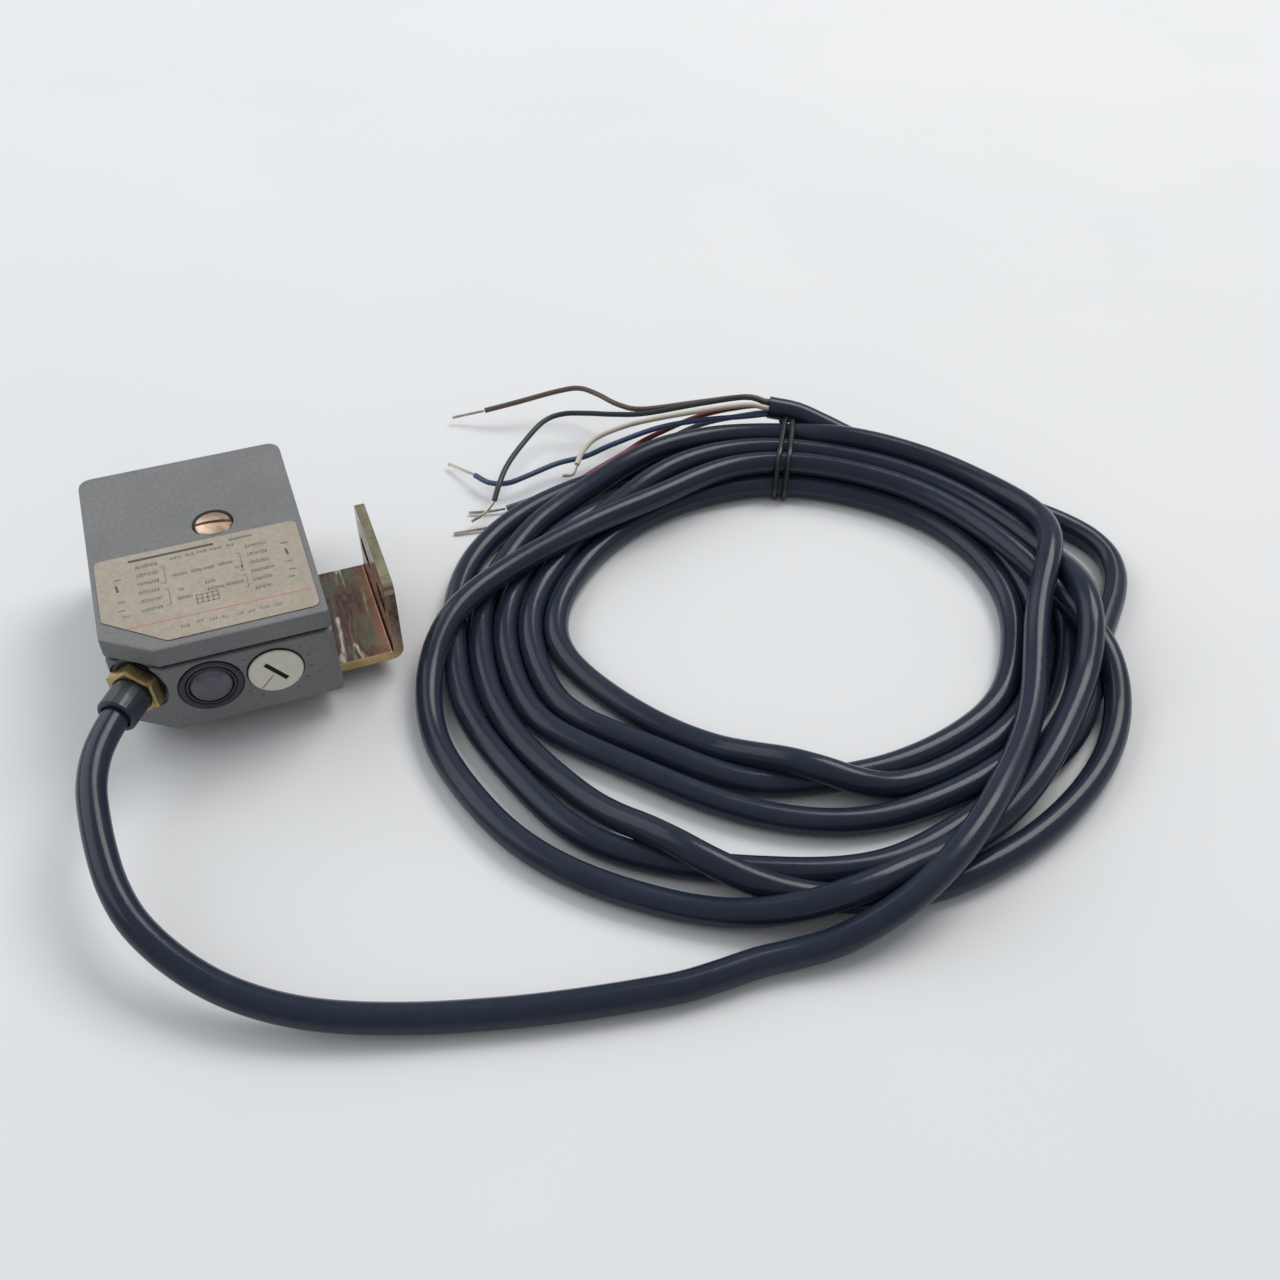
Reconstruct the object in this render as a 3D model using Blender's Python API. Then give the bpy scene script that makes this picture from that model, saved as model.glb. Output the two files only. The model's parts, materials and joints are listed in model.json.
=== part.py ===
"""Photoelectric sensor: housing with optics and boards, cable gland, bent bracket, coiled cable.

Lengths are in millimetres and the mesh helpers turn them into metres.  X runs along the control
face, Y away from it and Z up.  The housing frame has its zero at the lower left front corner of the
housing; the part's origin is below the middle of the sensor, on the surface that it stands on.
"""
import math

import bmesh
import bpy
from mathutils import Matrix, Vector

MM = 0.001
GAP = 0.3                         # clearance between pieces that touch

# Where the housing frame sits in the part's frame
HOUSING_AT = Vector((-29.99, -29.34, 6.5))

# Housing
WIDTH, DEPTH, HEIGHT = 48.0, 65.5, 24.8
CHAMFER_X, CHAMFER_Y = 10.7, 7.4  # the cut corner that carries the gland
WALL, FLOOR = 2.4, 2.0
BASE_TOP = 18.8
GASKET_LOW, GASKET_HIGH = 19.05, 19.55
COVER_LOW, COVER_CEILING = 19.8, 22.3
COVER_SCREW = (28.4, 38.7)
SCREW_SLOT_TURN = -6.5            # degrees about Z

# Control face
FACE_AXIS_Z = 11.2
WINDOW_X, KNOB_X = 20.0, 34.1
SEAL_R, SEAL_INNER_R, BEZEL_R, BEZEL_INNER_R, LENS_R = 6.9, 5.6, 5.35, 4.95, 4.7
KNOB_R, KNOB_SHAFT_R = 6.1, 2.0
KNOB_SLOT_TURN, KNOB_POINTER_TURN = 53.0, 133.0   # degrees about +Y, from +X
COUNTERBORE = 1.2

# Optics on the back face
OPTICS_X, OPTICS_Z = (14.5, 33.5), 9.8
WINDOW_WIDTH, WINDOW_HEIGHT = 39.0, 13.0
HOLDER_FRONT, HOLDER_BACK = 46.0, 62.8
BARREL_R, OPTIC_R = 6.2, 5.9

# Gland, along the chamfer's normal
GLAND_Z = 13.0
HEX_R, HEX_OUT = 6.35, 3.0
SLEEVE_R, SLEEVE_BORE_R, SLEEVE_END = 4.45, 3.4, 10.0
SHANK_R, SHANK_IN = 4.0, 7.0

# Bracket
BRACKET_Y = (8.3, 41.5)
PLATE = 2.4
LEG_LEFT, LEG_RIGHT, LEG_TOP = 7.0, 63.7, 20.0
BEND_R = 3.0
SLOT_Y, SLOT_Z, SLOT_R, SLOT_LENGTH = (16.2, 33.6), 10.0, 2.3, 10.0
BRACKET_SCREW_X, BRACKET_SCREW_Y = (13.0, 37.0), 31.0

# Cable
CABLE_R, WIRE_R, STRAND_R = 3.1, 0.75, 0.4
COIL_OUTER = ((116.0, -48.0), (84.0, 76.0))       # centre and half axes
COIL_INNER = ((118.0, -42.0), (58.0, 44.0))
COIL_LOW, COIL_HIGH = 1.4, 15.0
TIE_ANGLE = 68.0                  # degrees round the coil from +X
TIE_BAND, TIE_WIDTH = 0.9, 3.5

# Routes through these points, in the part's frame; the last figure is the height of the axis
LEAD_ROUTE = [
    (-30.3, -33.9, 19.5), (-33.5, -39.0, 19.2), (-36.0, -45.6, 18.6), (-37.2, -53.0, 17.8),
    (-37.1, -60.6, 16.8), (-36.8, -67.1, 15.5), (-35.9, -73.8, 14.0), (-33.2, -82.4, 12.0),
    (-28.8, -89.6, 10.0), (-22.6, -97.0, 8.0), (-14.6, -103.6, 6.2), (-3.7, -109.7, 4.7),
    (10.2, -114.9, 3.7), (23.7, -118.8, 3.2), (37.5, -122.2, 3.1), (54.5, -125.4, 3.1),
    (68.0, -127.0, 3.1), (84.0, -127.4, 3.1), (101.0, -126.6, 3.1),
]
TAIL_ROUTE = [(170.0, 15.4, 8.4), (165.0, 22.4, 9.4), (160.6, 27.4, 10.5), (156.4, 30.6, 11.5), (152.0, 32.6, 12.0)]
WIRE_ROUTES = {
    "brown": [(151.7, 34.8, 12.8), (147.0, 37.4, 13.6), (134.0, 41.6, 12.0), (119.0, 45.6, 10.6),
              (113.4, 50.6, 10.2), (109.7, 57.6, 10.0), (105.7, 62.3, 10.0), (99.7, 64.4, 9.0),
              (87.9, 65.9, 7.0), (78.8, 68.4, 4.6)],
    "black": [(151.0, 33.2, 13.6), (146.0, 35.6, 14.8), (134.0, 39.4, 13.0), (119.0, 43.4, 10.6),
              (111.0, 47.6, 9.4), (104.4, 51.4, 8.8), (97.8, 54.0, 8.4), (91.4, 52.4, 8.2),
              (83.0, 44.6, 8.0), (76.5, 37.0, 8.0), (72.3, 30.6, 7.4), (69.6, 26.4, 5.6)],
    "white": [(150.4, 31.4, 13.0), (145.4, 33.2, 14.0), (133.4, 37.2, 12.2), (119.0, 40.9, 10.0),
              (110.1, 41.4, 9.0), (102.5, 39.9, 8.2), (97.9, 36.6, 7.2), (95.2, 33.4, 6.0)],
    "blue": [(150.6, 31.0, 11.0), (145.6, 32.4, 10.6), (133.4, 36.6, 9.4), (121.0, 38.8, 8.2),
             (107.3, 38.4, 6.2), (99.2, 37.8, 4.6), (90.9, 37.4, 4.6), (81.3, 34.6, 4.8),
             (75.4, 33.6, 4.6), (70.9, 36.2, 4.0), (68.3, 41.4, 3.4)],
    "green": [(151.2, 32.8, 10.2), (146.4, 34.6, 9.4), (134.0, 39.0, 6.0), (118.0, 37.0, 3.2),
              (101.3, 33.2, 2.4), (88.0, 29.6, 2.0), (78.2, 27.6, 1.8), (73.0, 27.2, 1.4)],
    "red": [(151.9, 34.6, 10.9), (147.2, 36.9, 10.6), (135.0, 41.2, 7.4), (119.0, 39.6, 4.9),
            (109.0, 35.2, 4.5), (99.0, 31.0, 4.2), (86.0, 25.8, 2.8), (76.4, 22.8, 1.8),
            (71.4, 21.8, 1.2)],
}
STRAND_ROUTES = {
    "brown": [(78.4, 68.5, 4.45), (74.0, 70.2, 3.2), (69.8, 71.8, 2.0)],
    "black": [(69.4, 26.1, 5.4), (66.2, 24.6, 3.4), (62.5, 24.6, 1.8)],
    "white": [(95.1, 33.1, 5.8), (93.2, 31.2, 4.6), (90.4, 31.9, 4.4)],
    "blue": [(68.2, 41.8, 3.35), (65.8, 46.4, 2.4), (63.2, 51.4, 1.5)],
    "green": [(72.6, 27.2, 1.35), (68.4, 27.9, 1.0), (63.0, 29.4, 0.8)],
    "red": [(71.0, 21.75, 1.15), (66.0, 21.6, 0.9), (57.0, 22.6, 0.6)],
}

# Colour, roughness and metallic value of each material
MATERIALS = {
    "grey_paint": ((0.21, 0.22, 0.23), 0.6, 0.0),
    "rubber": ((0.02, 0.02, 0.022), 0.7, 0.0),
    "copper_screw": ((0.72, 0.5, 0.38), 0.3, 1.0),
    "brass": ((0.6, 0.5, 0.25), 0.35, 1.0),
    "label": ((0.5, 0.45, 0.36), 0.6, 0.0),
    "cream_plastic": ((0.62, 0.57, 0.46), 0.45, 0.0),
    "dark_lens": ((0.04, 0.03, 0.05), 0.1, 0.0),
    "red_window": ((0.12, 0.01, 0.015), 0.1, 0.0),
    "clear_lens": ((0.75, 0.78, 0.8), 0.05, 0.0),
    "black_plastic": ((0.03, 0.03, 0.03), 0.5, 0.0),
    "board": ((0.03, 0.16, 0.06), 0.5, 0.0),
    "zinc": ((0.45, 0.38, 0.2), 0.35, 1.0),
    "steel": ((0.55, 0.55, 0.55), 0.35, 1.0),
    "cable": ((0.02, 0.025, 0.035), 0.35, 0.0),
    "bare_copper": ((0.6, 0.5, 0.4), 0.4, 1.0),
    "wire_brown": ((0.16, 0.08, 0.05), 0.5, 0.0),
    "wire_black": ((0.02, 0.02, 0.02), 0.5, 0.0),
    "wire_white": ((0.7, 0.66, 0.58), 0.5, 0.0),
    "wire_blue": ((0.05, 0.08, 0.18), 0.5, 0.0),
    "wire_green": ((0.15, 0.2, 0.18), 0.5, 0.0),
    "wire_red": ((0.3, 0.03, 0.04), 0.5, 0.0),
}


def clear_scene():
    for thing in list(bpy.data.objects):
        bpy.data.objects.remove(thing, do_unlink=True)


def make_material(name):
    colour, roughness, metallic = MATERIALS[name]
    material = bpy.data.materials.new(name)
    material.use_nodes = True
    shader = material.node_tree.nodes["Principled BSDF"]
    shader.inputs["Base Color"].default_value = (*colour, 1.0)
    shader.inputs["Roughness"].default_value = roughness
    shader.inputs["Metallic"].default_value = metallic
    return material


def material_named(name):
    return bpy.data.materials.get(name) or make_material(name)


# ---- mesh helpers -------------------------------------------------------------------------------

def to_object(name, bm, material, at=(0, 0, 0), turn=None):
    """Mesh in millimetres to an object of the housing frame, with its own origin at `at`."""
    bmesh.ops.recalc_face_normals(bm, faces=bm.faces[:])
    bmesh.ops.scale(bm, vec=(MM, MM, MM), verts=bm.verts[:])
    mesh = bpy.data.meshes.new(name)
    bm.to_mesh(mesh)
    bm.free()
    mesh.shade_smooth()
    mesh.set_sharp_from_angle(angle=math.radians(35))
    thing = bpy.data.objects.new(name, mesh)
    bpy.context.collection.objects.link(thing)
    place = Matrix.Translation((HOUSING_AT + Vector(at)) * MM)
    thing.matrix_world = place @ turn.to_4x4() if turn else place
    if material:
        mesh.materials.append(material_named(material))
    return thing


def prism_mesh(outline, low, high):
    bm = bmesh.new()
    face = bm.faces.new([bm.verts.new((x, y, low)) for x, y in outline])
    grown = bmesh.ops.extrude_face_region(bm, geom=[face])
    risen = [item for item in grown["geom"] if isinstance(item, bmesh.types.BMVert)]
    bmesh.ops.translate(bm, vec=(0, 0, high - low), verts=risen)
    return bm


def prism(name, outline, low, high, material, at=(0, 0, 0), turn=None):
    return to_object(name, prism_mesh(outline, low, high), material, at, turn)


def box(name, low, high, material):
    outline = [(low[0], low[1]), (high[0], low[1]), (high[0], high[1]), (low[0], high[1])]
    return prism(name, outline, low[2], high[2], material)


def turned_mesh(profile, sides, ring):
    """Revolve (radius, height) points about Z; `ring` closes the profile on itself, else it is capped."""
    bm = bmesh.new()
    rows = []
    for radius, height in profile:
        count = sides if radius > 0 else 1
        angles = [2 * math.pi * step / sides for step in range(count)]
        rows.append([bm.verts.new((radius * math.cos(a), radius * math.sin(a), height)) for a in angles])
    following = rows[1:] + rows[:1] if ring else rows[1:]
    for here, there in zip(rows, following):
        for step in range(sides):
            after = (step + 1) % sides
            corners = [here[step % len(here)], here[after % len(here)],
                       there[after % len(there)], there[step % len(there)]]
            bm.faces.new(dict.fromkeys(corners))
    if not ring:
        for row in (rows[0], rows[-1]):
            if len(row) > 1:
                bm.faces.new(row)
    return bm


def turned(name, profile, material, at, axis=(0, 0, 1), sides=32, ring=False):
    turn = Vector((0, 0, 1)).rotation_difference(Vector(axis)).to_matrix()
    return to_object(name, turned_mesh(profile, sides, ring), material, at, turn)


def washer_profile(inner, outer, low, high):
    return [(inner, low), (outer, low), (outer, high), (inner, high)]


def rod_profile(radius, low, high, edge=0.0):
    if edge:
        return [(radius - edge, low), (radius, low + edge), (radius, high - edge), (radius - edge, high)]
    return [(radius, low), (radius, high)]


def dome_points(radius, rise, base, steps=4):
    """From the rim of a dome to its top, as (radius, height) points."""
    quarter = [math.pi / 2 * step / steps for step in range(1, steps + 1)]
    return [(radius * math.cos(a) if a < 1.57 else 0, base + rise * math.sin(a)) for a in quarter]


def rod_cutter(radius, low, high, at, axis=(0, 0, 1), sides=32):
    return turned("cutter", rod_profile(radius, low, high), None, at, axis, sides)


def combine(target, tool, operation="DIFFERENCE"):
    tool.hide_render = True
    tool.display_type = "WIRE"
    change = target.modifiers.new(operation.lower(), "BOOLEAN")
    change.operation = operation
    change.object = tool


def soften(target, width, angle=40.0):
    edge = target.modifiers.new("edges", "BEVEL")
    edge.width = width * MM
    edge.segments = 2
    edge.limit_method = "ANGLE"
    edge.angle_limit = math.radians(angle)


# ---- outlines -----------------------------------------------------------------------------------

def rounded(corners, steps=4):
    """Closed outline from (x, y, radius) corners, each rounded by a tangent arc."""
    outline = []
    for index, (x, y, radius) in enumerate(corners):
        here = Vector((x, y))
        back = (Vector(corners[index - 1][:2]) - here).normalized()
        ahead = (Vector(corners[(index + 1) % len(corners)][:2]) - here).normalized()
        half = back.angle(ahead) / 2
        centre = here + (back + ahead).normalized() * radius / math.sin(half)
        start = here + back * radius / math.tan(half) - centre
        sweep = start.angle_signed(here + ahead * radius / math.tan(half) - centre)
        for step in range(steps + 1):
            turn = Matrix.Rotation(-sweep * step / steps, 2)
            outline.append(tuple(centre + turn @ start))
    return outline


def inset(corners, distance):
    """Corners of a counter-clockwise outline moved inwards by a distance."""
    moved = []
    for index, (x, y, radius) in enumerate(corners):
        here = Vector((x, y))
        before = (here - Vector(corners[index - 1][:2])).normalized()
        after = (Vector(corners[(index + 1) % len(corners)][:2]) - here).normalized()
        bisector = (before.orthogonal() + after.orthogonal()).normalized()
        cosine = bisector.dot(before.orthogonal())
        spot = here + bisector * distance / cosine
        moved.append((spot.x, spot.y, max(radius - distance, 0.4)))
    return moved


def housing_corners():
    return [(CHAMFER_X, 0, 1.0), (WIDTH, 0, 1.2), (WIDTH, DEPTH, 3.0), (0, DEPTH, 3.0),
            (0, CHAMFER_Y, 1.0)]


def slot_outline(length, radius, steps=8):
    """Straight slot along X with round ends."""
    reach = length / 2 - radius
    right = [math.pi * (step / steps - 0.5) for step in range(steps + 1)]
    points = [(reach + radius * math.cos(a), radius * math.sin(a)) for a in right]
    return points + [(-x, -y) for x, y in points]


# ---- housing ------------------------------------------------------------------------------------

def add_housing_base():
    corners = housing_corners()
    base = prism("housing_base", rounded(corners), 0, BASE_TOP, "grey_paint")
    soften(base, 0.5)
    combine(base, prism("cutter", rounded(inset(corners, WALL)), FLOOR, BASE_TOP + 1, None))
    screw_boss_top = 14.3
    combine(base, rod_cutter(5.0, 1.0, screw_boss_top, (*COVER_SCREW, 0)), "UNION")
    combine(base, rod_cutter(3.3, 8.0, screw_boss_top + 1, (*COVER_SCREW, 0)))
    combine(base, rod_cutter(2.4, 4.5, 9.0, (*COVER_SCREW, 0)))
    for x in BRACKET_SCREW_X:
        combine(base, rod_cutter(4.0, 1.0, 6.2, (x, BRACKET_SCREW_Y, 0)), "UNION")
        combine(base, rod_cutter(2.3, -1.0, 5.4, (x, BRACKET_SCREW_Y, 0)))
    for x, wide, narrow in ((WINDOW_X, SEAL_R + GAP, LENS_R + GAP), (KNOB_X, KNOB_R + GAP, 2.4)):
        combine(base, rod_cutter(wide, -1.0, COUNTERBORE, (x, 0, FACE_AXIS_Z), (0, 1, 0), 40))
        combine(base, rod_cutter(narrow, 0, WALL + 1, (x, 0, FACE_AXIS_Z), (0, 1, 0), 40))
    middle = (sum(OPTICS_X) / 2, OPTICS_Z)
    for grow, low, high in ((0.3, DEPTH - 1.5, DEPTH + 1), (-1.5, DEPTH - WALL - 1, DEPTH)):
        half_x, half_z = WINDOW_WIDTH / 2 + grow, WINDOW_HEIGHT / 2 + grow
        combine(base, box("cutter", (middle[0] - half_x, low, middle[1] - half_z),
                          (middle[0] + half_x, high, middle[1] + half_z), None))
    axis, foot = gland_axis()
    combine(base, rod_cutter(HEX_R + 0.55, -COUNTERBORE, 3.0, foot, axis))
    combine(base, rod_cutter(SHANK_R + GAP, -WALL - 3.0, 0, foot, axis))


def add_cover():
    corners = housing_corners()
    cover = prism("top_cover", rounded(corners), COVER_LOW, HEIGHT, "grey_paint")
    soften(cover, 0.5)
    combine(cover, prism("cutter", rounded(inset(corners, WALL)), COVER_LOW - 1, COVER_CEILING, None))
    combine(cover, rod_cutter(7.0, COVER_LOW, HEIGHT - 1, (*COVER_SCREW, 0)), "UNION")
    combine(cover, rod_cutter(4.8, COVER_CEILING + 0.1, HEIGHT + 1, (*COVER_SCREW, 0)))
    combine(cover, rod_cutter(2.4, COVER_LOW - 1, HEIGHT, (*COVER_SCREW, 0)))


def add_gasket():
    corners = housing_corners()
    gasket = prism("cover_gasket", rounded(inset(corners, 0.9)), GASKET_LOW, GASKET_HIGH, "rubber")
    hole = prism("cutter", rounded(inset(corners, WALL)), GASKET_LOW - 1, GASKET_HIGH + 1, None)
    combine(gasket, hole)


def add_cover_screw():
    head_low, head_high = COVER_CEILING + 0.4, HEIGHT - 0.1
    profile = [(2.0, 8.6), (2.0, head_low), (4.1, head_low), (4.3, head_low + 0.3),
               (4.3, head_high - 0.4), (3.9, head_high), (2.2, head_high + 0.3), (0, head_high + 0.4)]
    screw = turned("cover_screw", profile, "copper_screw", (*COVER_SCREW, 0))
    slot = prism("cutter", [(-6, -0.5), (6, -0.5), (6, 0.5), (-6, 0.5)], head_high - 0.8,
                 head_high + 2, None, (*COVER_SCREW, 0),
                 Matrix.Rotation(math.radians(SCREW_SLOT_TURN), 3, "Z"))
    combine(screw, slot)
    turned("threaded_insert", washer_profile(2.2, 3.0, 8.3, 14.0), "brass", (*COVER_SCREW, 0), ring=True)


def add_label():
    right, front, back, left = 46.6, 2.2, 33.0, 1.2
    corners = [(14.0, front, 1.0), (right, front, 1.5), (right, back, 1.5), (left, back, 1.5),
               (left, 12.5, 1.0)]
    prism("rating_label", rounded(corners), HEIGHT + 0.08, HEIGHT + 0.23, "label")


# ---- control face -------------------------------------------------------------------------------

def add_window():
    at = (WINDOW_X, 0, FACE_AXIS_Z)
    seat = COUNTERBORE - 0.25
    seal = [(SEAL_INNER_R, seat), (SEAL_R, seat), (SEAL_R, -0.15), (SEAL_R - 0.35, -0.4),
            (SEAL_INNER_R + 0.3, -0.4), (SEAL_INNER_R, -0.15)]
    turned("window_seal", seal, "rubber", at, (0, 1, 0), ring=True)
    turned("window_bezel", washer_profile(BEZEL_INNER_R, BEZEL_R, -0.2, seat), "grey_paint", at,
           (0, 1, 0), ring=True)
    rim = 0.1
    dome = [(r, rim - (h - rim)) for r, h in dome_points(LENS_R, 1.3, rim)]
    lens = [(6.0, 3.8), (6.0, WALL + 0.3), (LENS_R, WALL + 0.3), (LENS_R, rim)] + dome
    turned("indicator_lens", lens, "dark_lens", at, (0, 1, 0))
    light = [(2.5, 14.9), (2.5, 6.6)]
    light += [(r, 6.6 - h) for r, h in dome_points(2.5, 2.3, 0)]
    turned("indicator_led", light, "red_window", at, (0, 1, 0), 20)


def add_knob():
    at = (KNOB_X, 0, FACE_AXIS_Z)
    back = COUNTERBORE - GAP
    profile = [(KNOB_R - 0.35, -0.7), (KNOB_R, -0.4), (KNOB_R, back), (KNOB_SHAFT_R, back),
               (KNOB_SHAFT_R, 10.5)]
    knob = turned("sensitivity_knob", profile, "cream_plastic", at, (0, 1, 0), 40)
    slot = box_cutter((-3.5, -2, -0.6), (3.5, 0.2, 0.6), at, KNOB_SLOT_TURN)
    combine(knob, slot)
    pointer = box_cutter((1.2, -2, -0.2), (5.6, -0.45, 0.2), at, KNOB_POINTER_TURN)
    combine(knob, pointer)
    turned("knob_seal", washer_profile(2.3, 3.6, WALL + 0.25, WALL + 1.15), "rubber", at, (0, 1, 0),
           24, ring=True)
    pot = box("potentiometer", (KNOB_X - 5, 3.9, FACE_AXIS_Z - 5), (KNOB_X + 5, 14.9, FACE_AXIS_Z + 5),
              "black_plastic")
    combine(pot, rod_cutter(KNOB_SHAFT_R + GAP, 3.0, 11.5, at, (0, 1, 0), 24))


def box_cutter(low, high, at, degrees):
    outline = [(low[0], low[1]), (high[0], low[1]), (high[0], high[1]), (low[0], high[1])]
    turn = Matrix.Rotation(math.radians(degrees), 3, "Y")
    return prism("cutter", outline, low[2], high[2], None, at, turn)


# ---- boards and optics --------------------------------------------------------------------------

def add_boards():
    box("control_board", (13.0, 15.2, 2.3), (44.0, 16.8, 17.0), "board")
    main = box("main_board", (4.0, 18.0, 6.6), (44.0, 42.8, 8.2), "board")
    combine(main, rod_cutter(5.0 + GAP, 5.0, 10.0, (*COVER_SCREW, 0)))
    box("optics_board", (4.0, 44.0, 2.3), (44.0, 45.6, 17.0), "board")
    box("amplifier_chip", (8.0, 21.0, 8.5), (20.0, 27.5, 11.5), "black_plastic")
    box("output_transistor", (9.0, 34.0, 8.5), (17.0, 37.0, 16.0), "black_plastic")
    turned("filter_capacitor", rod_profile(3.2, 8.5, 17.0, 0.4), "steel", (39.5, 24.0, 0), sides=20)


def add_optics():
    left, right = OPTICS_X[0] - 9.5, OPTICS_X[1] + 9.5
    holder = box("lens_holder", (left, HOLDER_FRONT, 2.3), (right, HOLDER_BACK, 17.3), "black_plastic")
    for name, x in zip(("emitter", "receiver"), OPTICS_X):
        at = (x, 0, OPTICS_Z)
        combine(holder, rod_cutter(BARREL_R, HOLDER_FRONT - 1, HOLDER_BACK + 1, at, (0, 1, 0)))
        lens = [(OPTIC_R, 58.6), (OPTIC_R, 60.0)] + dome_points(OPTIC_R, 2.6, 60.0)
        turned(name + "_lens", lens, "clear_lens", at, (0, 1, 0))
        diode = [(2.9, 45.9), (2.9, 46.9), (2.5, 46.9), (2.5, 49.0)]
        turned(name + "_diode", diode + dome_points(2.5, 2.2, 49.0), "dark_lens", at, (0, 1, 0), 20)
    middle = sum(OPTICS_X) / 2
    half_x, half_z = WINDOW_WIDTH / 2, WINDOW_HEIGHT / 2
    window = box("optical_window", (middle - half_x, DEPTH - 1.2, OPTICS_Z - half_z),
                 (middle + half_x, DEPTH - 0.1, OPTICS_Z + half_z), "red_window")
    soften(window, 0.2)


# ---- gland --------------------------------------------------------------------------------------

def gland_axis():
    """Outward normal of the chamfered corner, and the point where the gland's axis leaves it."""
    axis = Vector((-CHAMFER_Y, -CHAMFER_X, 0)).normalized()
    return axis, Vector((CHAMFER_X / 2, CHAMFER_Y / 2, GLAND_Z))


def add_gland():
    axis, foot = gland_axis()
    seat = -COUNTERBORE + 0.25
    turned("gland_washer", washer_profile(SHANK_R + GAP, 5.9, seat, seat + 0.4), "rubber", foot, axis,
           ring=True)
    hexagon = [(HEX_R - 0.5, -0.4), (HEX_R, 0.0), (HEX_R, HEX_OUT - 0.4), (HEX_R - 0.5, HEX_OUT)]
    body = turned("gland_body", hexagon, "brass", foot, axis, sides=6)
    combine(body, rod_cutter(SHANK_R, -SHANK_IN, 0.5, foot, axis), "UNION")
    combine(body, rod_cutter(SLEEVE_R + 0.2, 0.3, HEX_OUT + 1, foot, axis))
    combine(body, rod_cutter(SLEEVE_BORE_R, -SHANK_IN - 1, 1, foot, axis))
    nut = turned("gland_locknut", rod_profile(5.4, -5.0, -WALL - GAP), "brass", foot, axis, sides=6)
    combine(nut, rod_cutter(SHANK_R + 0.25, -6, 0, foot, axis))
    sleeve = [(SLEEVE_BORE_R, 0.6), (SLEEVE_R, 0.6), (SLEEVE_R, SLEEVE_END - 0.5),
              (SLEEVE_R - 0.4, SLEEVE_END), (SLEEVE_BORE_R, SLEEVE_END)]
    turned("strain_relief", sleeve, "rubber", foot, axis, ring=True)


# ---- bracket ------------------------------------------------------------------------------------

def bracket_outline():
    """Section of the bent plate in X and Z, from the far end of the leg round to the top."""
    top = -GAP
    bottom = top - PLATE
    inner = LEG_RIGHT - PLATE
    arc = [math.pi / 2 * step / 5 for step in range(6)]
    outer_x, outer_z = LEG_RIGHT - BEND_R, bottom + BEND_R
    inner_r = BEND_R - PLATE
    section = [(LEG_LEFT, bottom)]
    section += [(outer_x + BEND_R * math.sin(a), outer_z - BEND_R * math.cos(a)) for a in arc]
    section += [(LEG_RIGHT, LEG_TOP), (inner, LEG_TOP)]
    section += [(inner - inner_r + inner_r * math.cos(a), top + inner_r - inner_r * math.sin(a)) for a in arc]
    return section + [(LEG_LEFT, top)]


def add_bracket():
    near, far = BRACKET_Y
    upright = Matrix.Rotation(math.radians(90), 3, "X")
    bm = prism_mesh(bracket_outline(), -far, -near)
    corners = [edge for edge in bm.edges if is_plate_corner(edge)]
    bmesh.ops.bevel(bm, geom=corners, offset=2.4, segments=5, profile=0.5, affect="EDGES")
    bracket = to_object("mounting_bracket", bm, "zinc", turn=upright)
    for x in BRACKET_SCREW_X:
        combine(bracket, rod_cutter(2.3, -5, 2, (x, BRACKET_SCREW_Y, 0), sides=20))
    for y in SLOT_Y:
        turn = Matrix(((0, 0, 1), (1, 0, 0), (0, 1, 0)))
        outline = slot_outline(SLOT_LENGTH, SLOT_R)
        combine(bracket, prism("cutter", outline, -5, 5, None, (LEG_RIGHT, y, SLOT_Z), turn))


def is_plate_corner(edge):
    """The short edges through the plate at the free ends of its two legs."""
    ends = [vertex.co for vertex in edge.verts]
    if abs(ends[0].z - ends[1].z) > 0.01:
        return False
    at_top = all(abs(end.y - LEG_TOP) < 0.01 for end in ends)
    at_left = all(abs(end.x - LEG_LEFT) < 0.01 for end in ends)
    return at_top or at_left


def add_bracket_screws():
    plate_bottom = -GAP - PLATE
    for name, x in zip(("left", "right"), BRACKET_SCREW_X):
        at = (x, BRACKET_SCREW_Y, 0)
        low, high = plate_bottom - 1.0, plate_bottom - 0.2
        turned("spring_washer_" + name, washer_profile(2.25, 3.8, low, high), "steel", at, sides=24,
               ring=True)
        head = low - 0.2
        profile = [(3.2, -HOUSING_AT.z), (4.0, -HOUSING_AT.z + 0.6), (4.0, head), (2.0, head),
                   (2.0, 5.0)]
        turned("bracket_screw_" + name, profile, "steel", at, sides=24)


# ---- cable --------------------------------------------------------------------------------------

def smooth_through(points, spacing):
    """Points of a Catmull-Rom curve through the route, about `spacing` apart."""
    route = [Vector(point) for point in points]
    route = [2 * route[0] - route[1]] + route + [2 * route[-1] - route[-2]]
    curve = []
    for p0, p1, p2, p3 in zip(route, route[1:], route[2:], route[3:]):
        steps = max(1, round((p2 - p1).length / spacing))
        for step in range(steps):
            t = step / steps
            curve.append(0.5 * (2 * p1 + (p2 - p0) * t + (2 * p0 - 5 * p1 + 4 * p2 - p3) * t ** 2
                                + (3 * p1 - p0 - 3 * p2 + p3) * t ** 3))
    return curve + [route[-2]]


def cord(name, points, radius, material, spacing, resolution):
    curve = bpy.data.curves.new(name, "CURVE")
    curve.dimensions = "3D"
    curve.bevel_depth = radius * MM
    curve.bevel_resolution = resolution
    curve.use_fill_caps = True
    path = smooth_through(points, spacing)
    spline = curve.splines.new("POLY")
    spline.points.add(len(path) - 1)
    for point, spot in zip(spline.points, path):
        point.co = (*(spot * MM), 1.0)
    curve.materials.append(material_named(material))
    thing = bpy.data.objects.new(name, curve)
    bpy.context.collection.objects.link(thing)


def oval_point(oval, angle):
    (x, y), (half_x, half_y) = oval
    return Vector((x + half_x * math.cos(angle), y + half_y * math.sin(angle)))


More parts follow.
